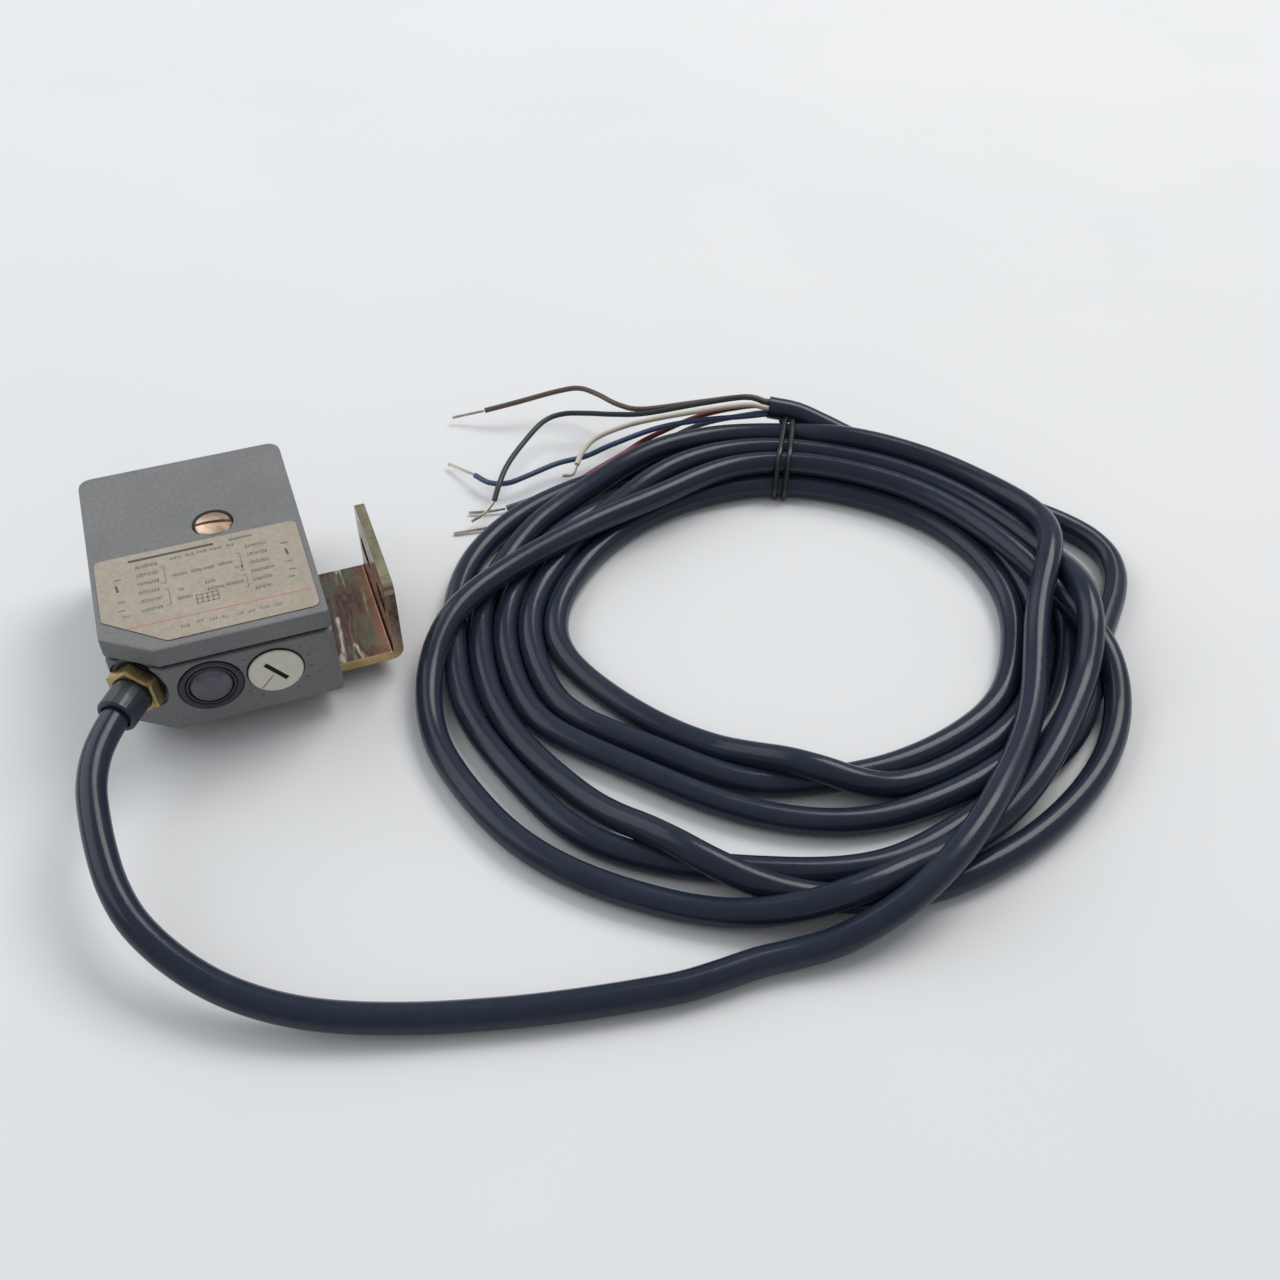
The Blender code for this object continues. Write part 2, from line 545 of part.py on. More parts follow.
def add_coil(sides=44):
    """One ring between the inner and the outer oval, with rounded shoulders."""
    section = [(0, 0.3), (0.15, 0.0), (0.85, 0.0), (1, 0.3), (1, 0.7), (0.85, 1), (0.15, 1), (0, 0.7)]
    bm = bmesh.new()
    rows = []
    for step in range(sides):
        angle = 2 * math.pi * step / sides
        inner, outer = oval_point(COIL_INNER, angle), oval_point(COIL_OUTER, angle)
        row = []
        for across, up in section:
            spot = inner.lerp(outer, across)
            row.append(bm.verts.new((spot.x, spot.y, COIL_LOW + up * (COIL_HIGH - COIL_LOW))))
        rows.append(row)
    for here, there in zip(rows, rows[1:] + rows[:1]):
        for index in range(len(section)):
            bm.faces.new((here[index - 1], here[index], there[index], there[index - 1]))
    to_object("cable_coil", bm, "cable", -HOUSING_AT)


def add_tie():
    """Flat band round the coil's section, lying in the plane of the coil's radius."""
    angle = math.radians(TIE_ANGLE)
    inner, outer = oval_point(COIL_INNER, angle), oval_point(COIL_OUTER, angle)
    across = (outer - inner).normalized()
    half = (outer - inner).length / 2
    frames = []
    for grow in (GAP + TIE_BAND, GAP):
        low, high = COIL_LOW - grow, COIL_HIGH + grow
        side = half + grow + 0.6
        frames.append(rounded([(-side, low, 2.5), (side, low, 2.5), (side, high, 4.5), (-side, high, 4.5)]))
    middle = (inner + outer) / 2
    turn = Matrix(((across.x, 0, across.y), (across.y, 0, -across.x), (0, 1, 0)))
    at = Vector((middle.x, middle.y, 0)) - HOUSING_AT
    band = prism("cable_tie", frames[0], -TIE_WIDTH / 2, TIE_WIDTH / 2, "rubber", at, turn)
    combine(band, prism("cutter", frames[1], -TIE_WIDTH, TIE_WIDTH, None, at, turn))


def add_cable():
    axis, foot = gland_axis()
    start = HOUSING_AT + foot - axis * 4.0
    middle = HOUSING_AT + foot + axis * 5.0
    cord("cable_lead", [start, middle] + LEAD_ROUTE, CABLE_R, "cable", 13.0, 3)
    add_coil()
    add_tie()
    cord("cable_tail", TAIL_ROUTE, CABLE_R, "cable", 13.0, 3)
    for name, route in WIRE_ROUTES.items():
        cord("wire_" + name, route, WIRE_R, "wire_" + name, 4.5, 2)
        cord("strand_" + name, STRAND_ROUTES[name], STRAND_R, "bare_copper", 3.0, 2)


def main():
    clear_scene()
    add_housing_base()
    add_cover()
    add_gasket()
    add_cover_screw()
    add_label()
    add_window()
    add_knob()
    add_boards()
    add_optics()
    add_gland()
    add_bracket()
    add_bracket_screws()
    add_cable()
    bpy.context.view_layer.update()


main()
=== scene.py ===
"""Looks of the photoelectric sensor: cable, tie, wires, print, finishes, floor, light and camera.

Lengths in the tables are millimetres in the row frame and MM turns them into metres.
"""

import json
import math
import random

import bmesh
import bpy
import numpy as np
from mathutils import Matrix, Vector


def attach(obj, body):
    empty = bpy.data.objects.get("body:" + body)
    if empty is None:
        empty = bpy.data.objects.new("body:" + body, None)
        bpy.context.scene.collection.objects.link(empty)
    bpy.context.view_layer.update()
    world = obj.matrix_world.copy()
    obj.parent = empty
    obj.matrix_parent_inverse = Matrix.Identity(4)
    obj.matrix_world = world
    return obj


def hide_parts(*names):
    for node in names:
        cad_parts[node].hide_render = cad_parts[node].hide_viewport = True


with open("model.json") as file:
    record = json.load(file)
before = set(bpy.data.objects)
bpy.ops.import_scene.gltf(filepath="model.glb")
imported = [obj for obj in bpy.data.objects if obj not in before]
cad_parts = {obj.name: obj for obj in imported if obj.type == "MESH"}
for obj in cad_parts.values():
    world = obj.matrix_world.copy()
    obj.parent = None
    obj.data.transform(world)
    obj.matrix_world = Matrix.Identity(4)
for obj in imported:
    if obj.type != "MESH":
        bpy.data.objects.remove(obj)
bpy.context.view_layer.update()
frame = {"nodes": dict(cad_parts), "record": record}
nodes = frame["nodes"]
scene = bpy.context.scene

MM = 0.001
HOUSING = Vector((-29.99, -29.34, 6.5))           # zero of the housing in the row frame
FOOT = Vector((5.35, 3.7, 13.0))                  # where the gland's axis leaves the housing
GLAND_AXIS = Vector((-7.4, -10.7, 0.0)).normalized()
CABLE_R, WIRE_R = 3.1, 0.75
COIL_CENTRE = (116.0, -46.0)
TIE_ANGLE = 61.5


# ---- camera -------------------------------------------------------------------------------------

camera = bpy.data.objects.new("camera", bpy.data.cameras.new("camera"))
scene.collection.objects.link(camera)
camera.data.lens = 38.66
camera.data.sensor_width = 36.0
aim = (Matrix.Rotation(math.radians(-20.78), 4, "Z") @ Matrix.Rotation(math.radians(45.42), 4, "X")
       @ Matrix.Rotation(math.radians(0.59), 4, "Z"))
camera.matrix_world = Matrix.Translation((0.00431, -0.25644, 0.2372)) @ aim
scene.camera = camera


# ---- routes -------------------------------------------------------------------------------------

LEAD_ROUTE = [
    (-30.3, -33.9, 19.5), (-33.5, -39.0, 19.2), (-36.0, -45.6, 18.6), (-37.2, -53.0, 17.8),
    (-37.1, -60.6, 16.8), (-36.8, -67.1, 15.5), (-35.9, -73.8, 14.0), (-33.2, -82.4, 12.0),
    (-28.8, -89.6, 10.0), (-22.6, -97.0, 8.0), (-14.6, -103.6, 6.2), (-3.7, -109.7, 4.7),
    (10.2, -114.9, 3.7), (23.7, -118.8, 3.2), (37.5, -122.2, 3.1), (54.5, -125.4, 3.1),
    (68.0, -127.0, 3.1),
]
TAIL_ROUTE = [(165.0, 22.4, 9.4), (160.6, 27.4, 10.5), (156.4, 30.6, 11.5), (152.0, 32.6, 12.0)]

# The turns of the coil in order of travel: degrees round the coil's centre, radius and height
# Each pass round the coil as stations of (degrees from +X, distance from the centre, height of the axis).
# They are measured values, and settle() pushes the passes apart where they touch.
TURNS = [
    # over the lower turns, up the right-hand side and into the top of the bundle
    [(247, 87.2, 3.1), (253, 86.2, 4.5), (258, 84, 7.5), (264, 81.4, 10.5), (274, 76.6, 13.6),
     (287, 71.7, 14.5), (300, 68, 14.5), (315, 65, 14.5), (330, 63.9, 14.5), (344, 66.5, 14.4),
     (353, 72.5, 14.2), (359, 78.2, 14.2), (364, 81.2, 14.2), (370, 82, 14.2), (379, 80.4, 14.2),
     (392, 79, 13.6), (406, 79.4, 11.5), (420, 79.4, 8.8), (433, 78.5, 8.8), (449, 75, 8.8),
     (465, 71.5, 8.8), (482, 70.5, 8.8), (495, 69.5, 6), (510, 69, 3.1), (540, 66.6, 3.1),
     (570, 64, 3.1), (585, 66, 7), (598, 71, 8.6)],
    # the widest turn at the lower right, then across the others at the upper left
    [(253, 74.5, 5), (267, 76.6, 3.1), (280, 77.8, 3.1), (294, 79.4, 3.1), (308, 81.4, 3.1),
     (319, 82.2, 3.1), (328, 81, 4), (336, 78.6, 7), (345, 76.5, 9.4), (355, 74, 9),
     (375, 71, 8.5), (390, 70, 8.5), (405, 68.5, 8.5), (420, 67.3, 8.5), (435, 63.5, 9),
     (452, 57, 10), (472, 56.5, 12.5), (488, 59.5, 13.5), (502, 66, 13.3), (515, 74, 12),
     (527, 79, 8), (536, 81, 5), (545, 82, 3.1), (563, 81.5, 3.1), (576, 80.5, 3.1),
     (588, 78.8, 3.1), (600, 77.6, 3.1), (611, 76, 5.5)],
    # raised over the widest turn, then inside it
    [(264, 74.8, 8.5), (279, 71.2, 8.8), (290, 69.7, 8.8), (300, 69.5, 8.8), (315, 71.5, 8.6),
     (330, 75.6, 9), (339, 76.8, 11.6), (347, 77, 11.6), (360, 77.5, 9.4), (375, 77, 8.5),
     (390, 76, 8.5), (405, 74.6, 8.5), (420, 73.3, 8.5), (435, 70, 8.5), (450, 65.5, 8.5),
     (465, 61, 8.4), (480, 60.3, 8.2), (510, 58, 7), (540, 53.3, 3.1), (555, 47.5, 3.1),
     (570, 43, 3.1), (585, 42, 3.1), (600, 43.5, 3.1), (612, 43.5, 3.1)],
    # the innermost turn
    [(270, 44.6, 3.1), (280, 46.5, 3.1), (300, 50.8, 3.1), (320, 57.5, 3.1), (339, 61, 3.1),
     (354, 65.2, 3.1), (370, 67.4, 3.1), (385, 67.6, 3.1), (402, 66, 3.1), (420, 64.2, 3.1),
     (435, 61, 3.1), (450, 58, 3.1), (467, 56, 3.1), (484, 55, 3.1), (503, 53.7, 3.1),
     (518, 52, 3.1), (532, 46, 3.1),
     (553, 39, 3.1), (570, 36.5, 3.1), (590, 36, 3.1), (602, 37.6, 5), (617, 42.5, 8.6)],
    [(270, 48.8, 7), (280, 51.6, 3.6), (300, 57, 3.1), (315, 62.3, 3.1), (330, 66.5, 3.1),
     (345, 69.5, 3.1), (360, 72, 3.1), (375, 73.8, 3.1), (390, 73.2, 3.1), (405, 71.6, 3.1),
     (420, 70.4, 3.1), (435, 67.4, 3.1), (450, 64.3, 3.1), (480, 63.5, 3.1), (510, 63.6, 3.1),
     (540, 59.8, 3.1),
     (555, 54.5, 3.1), (570, 50, 3.1), (585, 49.5, 3.1), (600, 51.2, 3.1), (615, 54, 3.1)],
    [(270, 57.2, 3.1), (285, 59.3, 3.1), (300, 63.2, 3.1), (315, 68.4, 3.1), (330, 72.6, 3.1),
     (345, 76, 3.1), (360, 78.4, 3.1), (375, 80, 3.1), (390, 79.2, 3.1), (405, 77.8, 3.1),
     (420, 76.6, 3.1), (435, 75, 3.1), (450, 74, 3.1), (465, 75, 3.1), (480, 78, 3.1),
     (495, 79.3, 3.1), (510, 77.4, 3.1), (525, 74.8, 3.1), (540, 73, 3.1), (570, 71.5, 3.1),
     (585, 69.5, 3.1), (600, 67.8, 3.1), (615, 68.5, 3.1)],
    # the loop that stands out on the right, and the end of the cable
    [(270, 70, 3.1), (285, 69, 3.1), (300, 69.5, 3.1), (315, 73.8, 3.1), (330, 78.2, 3.1),
     (339, 80.8, 3.1), (346, 86, 3.1), (352, 92.5, 3.1), (358, 97.6, 3.1), (364, 98, 3.1),
     (370, 94, 3.1), (379, 88, 3.1), (390, 84, 3.6), (400, 82, 5.6), (408.7, 81.8, 8.4)],
]

WIRE_ROUTES = {
    "brown": [(151.7, 34.8, 12.8), (147.0, 37.4, 13.6), (134.0, 41.6, 12.0), (119.0, 45.6, 10.6),
              (113.4, 50.6, 10.2), (109.7, 57.6, 10.0), (105.7, 62.3, 10.0), (99.7, 64.4, 9.0),
              (87.9, 65.9, 7.0), (78.8, 68.4, 4.6)],
    "black": [(151.0, 33.2, 13.6), (146.0, 35.6, 14.8), (134.0, 39.4, 13.0), (119.0, 43.4, 10.6),
              (111.0, 47.6, 9.4), (104.4, 51.4, 8.8), (97.8, 54.0, 8.4), (91.4, 52.4, 8.2),
              (83.0, 44.6, 8.0), (76.5, 37.0, 8.0), (72.3, 30.6, 7.4), (69.6, 26.4, 5.6)],
    "white": [(150.4, 31.4, 13.0), (145.4, 33.2, 14.0), (133.4, 37.2, 12.2), (119.0, 40.9, 10.0),
              (110.1, 41.4, 9.0), (102.5, 39.9, 8.2), (97.9, 36.6, 7.2), (95.2, 33.4, 6.0)],
    "blue": [(150.6, 31.0, 11.0), (145.6, 32.4, 10.6), (133.4, 36.6, 9.4), (121.0, 38.8, 8.2),
             (107.3, 38.4, 6.2), (99.2, 37.8, 4.6), (90.9, 37.4, 4.6), (81.3, 34.6, 4.8),
             (75.4, 33.6, 4.6), (70.9, 36.2, 4.0), (68.3, 41.4, 3.4)],
    "green": [(151.2, 32.8, 10.2), (146.4, 34.6, 9.4), (134.0, 39.0, 6.0), (118.0, 37.0, 3.2),
              (101.3, 33.2, 2.4), (88.0, 29.6, 2.0), (78.2, 27.6, 1.8), (73.0, 27.2, 1.4)],
    "red": [(151.9, 34.6, 10.9), (147.2, 36.9, 10.6), (135.0, 41.2, 7.4), (119.0, 39.6, 4.9),
            (109.0, 35.2, 4.5), (99.0, 31.0, 4.2), (86.0, 25.8, 2.8), (76.4, 22.8, 1.8),
            (71.4, 21.8, 1.2)],
}
STRAND_ROUTES = {
    "brown": [(78.4, 68.5, 4.45), (74.0, 70.2, 3.2), (69.8, 71.8, 2.0)],
    "black": [(69.4, 26.1, 5.4), (66.2, 24.6, 3.4), (62.5, 24.6, 1.8)],
    "white": [(95.1, 33.1, 5.8), (93.2, 31.2, 4.6), (90.4, 31.9, 4.4)],
    "blue": [(68.2, 41.8, 3.35), (65.8, 46.4, 2.4), (63.2, 51.4, 1.5)],
    "green": [(72.6, 27.2, 1.35), (68.4, 27.9, 1.0), (63.0, 29.4, 0.8)],
    "red": [(71.0, 21.75, 1.15), (66.0, 21.6, 0.9), (57.0, 22.6, 0.6)],
}


def smooth_through(points, spacing):
    """Points of a Catmull-Rom curve through the route, about `spacing` apart."""
    route = [Vector(point) for point in points]
    route = [2 * route[0] - route[1]] + route + [2 * route[-1] - route[-2]]
    curve = []
    for p0, p1, p2, p3 in zip(route, route[1:], route[2:], route[3:]):
        steps = max(1, round((p2 - p1).length / spacing))
        for step in range(steps):
            t = step / steps
            curve.append(0.5 * (2 * p1 + (p2 - p0) * t + (2 * p0 - 5 * p1 + 4 * p2 - p3) * t ** 2
                                + (3 * p1 - p0 - 3 * p2 + p3) * t ** 3))
    return np.array(curve + [route[-2]])


def even_steps(points, spacing):
    """The same line with points the same distance apart."""
    along = np.concatenate([[0], np.cumsum(np.linalg.norm(np.diff(points, axis=0), axis=1))])
    count = max(2, round(along[-1] / spacing) + 1)
    wanted = np.linspace(0, along[-1], count)
    return np.column_stack([np.interp(wanted, along, points[:, axis]) for axis in range(3)])


def coil_points():
    """The turns as points, with the angle running on from turn to turn."""
    spots = []
    for turn, stations in enumerate(TURNS):
        for angle, radius, height in stations:
            spots.append((math.radians(angle), radius, height))
    return [(COIL_CENTRE[0] + r * math.cos(a), COIL_CENTRE[1] + r * math.sin(a), h) for a, r, h in spots]


def settle(guide, held, rounds=260):
    """Let the cable's turns push each other apart and lie down on what is under them."""
    count = len(guide)
    index = np.arange(count)
    far = np.abs(index[:, None] - index[None, :]) > 7
    points = guide.copy()
    gap = 2 * CABLE_R + 0.05
    free = ~held
    for step in range(rounds):
        calm = step > rounds * 0.8
        away = points[:, None, :] - points[None, :, :]
        distance = np.sqrt((away ** 2).sum(2)) + 1e-6
        close = far & (distance < gap)
        push = np.where(close, (gap - distance) / distance * 0.5, 0.0)
        move = (away * push[:, :, None]).sum(1)
        size = np.linalg.norm(move, axis=1, keepdims=True)
        move *= np.minimum(1.0, 1.2 / (size + 1e-9))
        points[free] += 0.6 * move[free]
        if not calm:
            points[free, :2] += 0.03 * (guide - points)[free, :2]
            points[free, 2] -= 0.06
        shift = points - guide
        mean = shift.copy()
        mean[1:-1] = (shift[:-2] + shift[2:]) / 2
        points[free] += (0.25 if calm else 0.5) * (mean - shift)[free]
        points[:, 2] = np.maximum(points[:, 2], CABLE_R)
    return points


def rounded_off(points, held, times=4):
    """Take small kinks out of a line, without moving its held ends."""
    for _ in range(times):
        mean = points.copy()
        mean[1:-1] = (points[:-2] + points[2:]) / 2
        points[~held] += 0.5 * (mean - points)[~held]
    return points


start = HOUSING + FOOT - GLAND_AXIS * 4.0
middle = HOUSING + FOOT + GLAND_AXIS * 5.0
route = [start, middle] + LEAD_ROUTE + coil_points() + TAIL_ROUTE
guide = even_steps(smooth_through(route, 2.0), 4.0)
lead_count = int((even_steps(smooth_through([start, middle] + LEAD_ROUTE, 2.0), 4.0)).shape[0])
held = np.zeros(len(guide), bool)
held[:lead_count] = True
held[-6:] = True
cable_points = rounded_off(settle(guide, held), held)
cable_points = smooth_through(cable_points[:-1:2].tolist() + [cable_points[-1].tolist()], 2.0)


def ring_frames(points):
    """Two directions across the line at each point, carried along it without twisting."""
    tangents = np.gradient(points, axis=0)
    tangents /= np.linalg.norm(tangents, axis=1, keepdims=True)
    across = np.cross(tangents[0], (0.0, 0.0, 1.0))
    first = []
    for tangent in tangents:
        across = across - tangent * across.dot(tangent)
        across /= np.linalg.norm(across)
        first.append(across)
    first = np.array(first)
    return first, np.cross(tangents, first)


def add_tube(bm, points, radius, sides):
    """A round tube with flat ends along a line of points, all in millimetres."""
    first, second = ring_frames(points)
    rows = []
    for here, u, v in zip(points, first, second):
        angles = [2 * math.pi * side / sides for side in range(sides)]
        rows.append([bm.verts.new((here + (u * math.cos(a) + v * math.sin(a)) * radius) * MM)
                     for a in angles])
    for here, there in zip(rows, rows[1:]):
        for side in range(sides):
            bm.faces.new((here[side - 1], here[side], there[side], there[side - 1]))
    bm.faces.new(rows[0])
    bm.faces.new(rows[-1][::-1])


def mesh_piece(name, bm, body="sensor", smooth=35.0):
    mesh = bpy.data.meshes.new(name)
    bmesh.ops.recalc_face_normals(bm, faces=bm.faces[:])
    bm.to_mesh(mesh)
    bm.free()
    mesh.shade_smooth()
    mesh.set_sharp_from_angle(angle=math.radians(smooth))
    piece = bpy.data.objects.new(name, mesh)
    scene.collection.objects.link(piece)
    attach(piece, body)
    return piece


def tube(name, points, radius, sides=12):
    bm = bmesh.new()
    add_tube(bm, points, radius, sides)
    return mesh_piece(name, bm, smooth=50.0)


cable = tube("sensor_cable", cable_points, CABLE_R, 20)
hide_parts("cable_lead", "cable_coil", "cable_tail")

wires, strands = {}, {}
for name, route_points in WIRE_ROUTES.items():
    inside = tuple(Vector(route_points[0]) + Vector((2.4, -1.1, -0.3)))
    line = smooth_through([inside] + route_points, 1.5)
    wire = tube("core_" + name, line, WIRE_R)
    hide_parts("wire_" + name)
    wires[name] = (wire, line)


def stranded(name, points):
    """Bare end of a core: fine strands twisted round each other and spreading at the tip."""
    line = smooth_through(points, 0.6)
    first, second = ring_frames(line)
    along = np.linspace(0, len(line) * 0.6, len(line))
    spread = 0.25 * (1.0 + 0.35 * np.linspace(0, 1, len(line)) ** 2)[:, None]
    bm = bmesh.new()
    add_tube(bm, line, 0.13, 6)
    for lay in range(6):
        turn = (along * 1.1 + lay * math.pi / 3)[:, None]
        spots = line + spread * (np.cos(turn) * first + np.sin(turn) * second)
        spots[:, 2] = np.maximum(spots[:, 2], 0.15)
        add_tube(bm, spots, 0.13, 6)
    return mesh_piece(name, bm)


for name, route_points in STRAND_ROUTES.items():
    strand = stranded("bare_end_" + name, route_points)
    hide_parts("strand_" + name)
    strands[name] = strand


# ---- mesh helpers -------------------------------------------------------------------------------

def closed_tube(bm, points, radius, sides=10):
    """A ring of round section through a closed line of points, in millimetres."""
    count = len(points)
    rows = []
    for index in range(count):
        here = Vector(points[index])
        ahead = (Vector(points[(index + 1) % count]) - Vector(points[index - 1])).normalized()
        across = ahead.cross(Vector((0.9, -0.44, 0.0))).normalized()
        other = ahead.cross(across)
        row = []
        for side in range(sides):
            a = 2 * math.pi * side / sides
            row.append(bm.verts.new((here + (across * math.cos(a) + other * math.sin(a)) * radius) * MM))
        rows.append(row)
    for here, there in zip(rows, rows[1:] + rows[:1]):
        for side in range(sides):
            bm.faces.new((here[side - 1], here[side], there[side], there[side - 1]))


def hull(points):
    """Counter-clockwise convex outline of flat points."""
    points = sorted(set((round(x, 3), round(y, 3)) for x, y in points))

    def half(line):
        kept = []
        for p in line:
            while len(kept) > 1 and ((kept[-1][0] - kept[-2][0]) * (p[1] - kept[-2][1])
                                     - (kept[-1][1] - kept[-2][1]) * (p[0] - kept[-2][0])) <= 0:
                kept.pop()
            kept.append(p)
        return kept[:-1]
    return half(points) + half(points[::-1])


# ---- tie ----------------------------------------------------------------------------------------

def tie_outline(grow):
    """Outline that the tie takes round the bundle: (distance from the coil's centre, height)."""
    angle = math.radians(TIE_ANGLE)
    out = Vector((math.cos(angle), math.sin(angle)))
    spots = []
    for here, there in zip(cable_points[:-40], cable_points[1:-40]):
        offsets = [Vector((p[0] - COIL_CENTRE[0], p[1] - COIL_CENTRE[1])) for p in (here, there)]
        if offsets[0].dot(out) > 0:
            sides = [out.x * o.y - out.y * o.x for o in offsets]
            if (sides[0] < 0) != (sides[1] < 0):
                share = sides[0] / (sides[0] - sides[1])
                radius = offsets[0].lerp(offsets[1], share).dot(out)
                spots.append((radius, here[2] + (there[2] - here[2]) * share))
    ring = [2 * math.pi * step / 20 for step in range(20)]
    reach = CABLE_R + grow
    return hull([(r + reach * math.cos(a), h + reach * math.sin(a)) for r, h in spots for a in ring])


def add_tie():
    angle = math.radians(TIE_ANGLE)
    out, side = Vector((math.cos(angle), math.sin(angle), 0)), Vector((-math.sin(angle), math.cos(angle), 0))
    centre = Vector((*COIL_CENTRE, 0))
    outline = tie_outline(0.75)
    bm = bmesh.new()
    for offset, phase in ((-1.15, 0.0), (1.15, 1.4)):
        line = even_steps(np.array([(r, h, 0) for r, h in outline + outline[:1]]), 1.6)[:-1]
        points = []
        for index, (r, h, _) in enumerate(line):
            share = index / len(line)
            sway = offset + 0.35 * math.sin(2 * math.pi * share + phase)
            points.append(centre + out * r + side * sway + Vector((0, 0, max(h, 0.75))))
        closed_tube(bm, points, 0.72)
    top = max(outline, key=lambda spot: spot[1] + 0.6 * spot[0])
    twist = []
    for lay in range(2):
        row = []
        for step in range(15):
            turn = math.pi * lay + step * 0.75
            along = step * 0.55
            row.append(centre + out * (top[0] + 0.3 + along * 0.55 + 0.55 * math.cos(turn))
                       + side * (0.55 * math.sin(turn) + along * 0.25) + Vector((0, 0, top[1] - along * 0.5)))
        twist.append(row)
    for row in twist:
        closed_tube(bm, row + [spot + Vector((0.03, 0.03, 0.0)) for spot in row[::-1]], 0.5, 8)
    tie = mesh_piece("wire_tie", bm)
    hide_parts("cable_tie")
    return tie


tie = add_tie()


# ---- materials ----------------------------------------------------------------------------------

class Finish:
    """Builds one material's nodes around a Principled shader."""

    def __init__(self, name, roughness, metallic=0.0, **sockets):
        self.material = bpy.data.materials.new(name)
        self.material.use_nodes = True
        self.tree = self.material.node_tree
        self.shader = self.tree.nodes["Principled BSDF"]
        self.shader.inputs["Roughness"].default_value = roughness
        self.shader.inputs["Metallic"].default_value = metallic
        for socket, value in sockets.items():
            self.shader.inputs[socket.replace("_", " ")].default_value = value
        self.place = self.tree.nodes.new("ShaderNodeTexCoord").outputs["Object"]

    def link(self, source, target):
        self.tree.links.new(source, target)

    def stretched(self, scale, turn=(0.0, 0.0, 0.0)):
        mapping = self.tree.nodes.new("ShaderNodeMapping")
        mapping.inputs["Rotation"].default_value = turn
        mapping.inputs["Scale"].default_value = scale
        self.link(self.place, mapping.inputs["Vector"])
        return mapping.outputs["Vector"]

    def noise(self, per_metre, detail=4.0, rough=0.55, warp=0.0, place=None):
        node = self.tree.nodes.new("ShaderNodeTexNoise")
        node.inputs["Scale"].default_value = per_metre
        node.inputs["Detail"].default_value = detail
        node.inputs["Roughness"].default_value = rough
        node.inputs["Distortion"].default_value = warp
        self.link(place or self.place, node.inputs["Vector"])
        return node.outputs["Fac"]

    def cells(self, per_metre, place=None):
        node = self.tree.nodes.new("ShaderNodeTexVoronoi")
        node.inputs["Scale"].default_value = per_metre
        self.link(place or self.place, node.inputs["Vector"])
        return node.outputs["Distance"]

    def ramp(self, source, stops):
        node = self.tree.nodes.new("ShaderNodeValToRGB")
        band = node.color_ramp
        while len(band.elements) < len(stops):
            band.elements.new(0.5)
        for element, (at, colour) in zip(band.elements, stops):
            element.position = at
            element.color = (*colour, 1.0) if len(colour) == 3 else colour
        self.link(source, node.inputs["Fac"])
        return node.outputs["Color"]

    def span(self, source, low, high, start=0.3, end=0.7):
        node = self.tree.nodes.new("ShaderNodeMapRange")
        for socket, value in (("From Min", start), ("From Max", end), ("To Min", low), ("To Max", high)):
            node.inputs[socket].default_value = value
        self.link(source, node.inputs["Value"])
        return node.outputs["Result"]

    def mix(self, share, first, second, blend="MIX"):
        node = self.tree.nodes.new("ShaderNodeMix")
        node.data_type = "RGBA"
        node.blend_type = blend
        for socket, value in ((node.inputs[0], share), (node.inputs[6], first), (node.inputs[7], second)):
            if isinstance(value, bpy.types.NodeSocket):
                self.link(value, socket)
            elif isinstance(value, tuple):
                socket.default_value = (*value, 1.0)
            else:
                socket.default_value = value
        return node.outputs[2]

    def colour(self, source):
        self.link(source, self.shader.inputs["Base Color"])

    def roughness(self, source):
        self.link(source, self.shader.inputs["Roughness"])

    def bump(self, source, depth_mm, strength=1.0):
        node = self.tree.nodes.new("ShaderNodeBump")
        node.inputs["Strength"].default_value = strength
        node.inputs["Distance"].default_value = depth_mm * MM
        self.link(source, node.inputs["Height"])
        if self.shader.inputs["Normal"].is_linked:
            self.link(self.shader.inputs["Normal"].links[0].from_socket, node.inputs["Normal"])
        self.link(node.outputs["Normal"], self.shader.inputs["Normal"])


def tinted(colour, factor):
    return tuple(min(1.0, channel * factor) for channel in colour)


def simple_finish(name, colour, roughness, metallic=0.0, vary=0.18, patch=120.0, grain=2500.0,
                  depth=0.02, **sockets):
    """Colour that drifts a little, uneven gloss and a fine grain."""
    finish = Finish(name, roughness, metallic, **sockets)
    broad = finish.noise(patch, 5.0, 0.6)
    finish.colour(finish.ramp(broad, [(0.3, tinted(colour, 1 - vary)), (0.7, tinted(colour, 1 + vary))]))
    finish.roughness(finish.span(finish.noise(patch * 3, 4.0), roughness * 0.8, min(1.0, roughness * 1.25)))
    finish.bump(finish.noise(grain, 3.0), depth)
    return finish.material


def painted_metal():
    """Grey paint with a fine wrinkle, small dark pits and a few rubbed spots."""
    finish = Finish("painted_metal", 0.55, 0.0, Specular_IOR_Level=0.42)
    broad = finish.noise(45.0, 4.0, 0.6)
    base = finish.ramp(broad, [(0.3, (0.174, 0.179, 0.183)), (0.7, (0.207, 0.209, 0.211))])
    speck = finish.ramp(finish.noise(2600.0, 2.0, 0.7),
                        [(0.36, (0.546, 0.546, 0.554)), (0.56, (1.0, 1.0, 1.0))])
    base = finish.mix(0.55, base, speck, "MULTIPLY")
    worn = finish.ramp(finish.noise(260.0, 8.0, 0.75, 0.6),
                        [(0.70, (0.000, 0.000, 0.000)), (0.76, (1.0, 1.0, 1.0))])
    finish.colour(finish.mix(worn, base, (0.290, 0.290, 0.282)))
    finish.roughness(finish.span(finish.noise(900.0, 4.0), 0.46, 0.68))
    finish.bump(finish.noise(1700.0, 4.0, 0.6), 0.06, 0.7)
    finish.bump(finish.cells(900.0), 0.04, 0.35)
    return finish.material


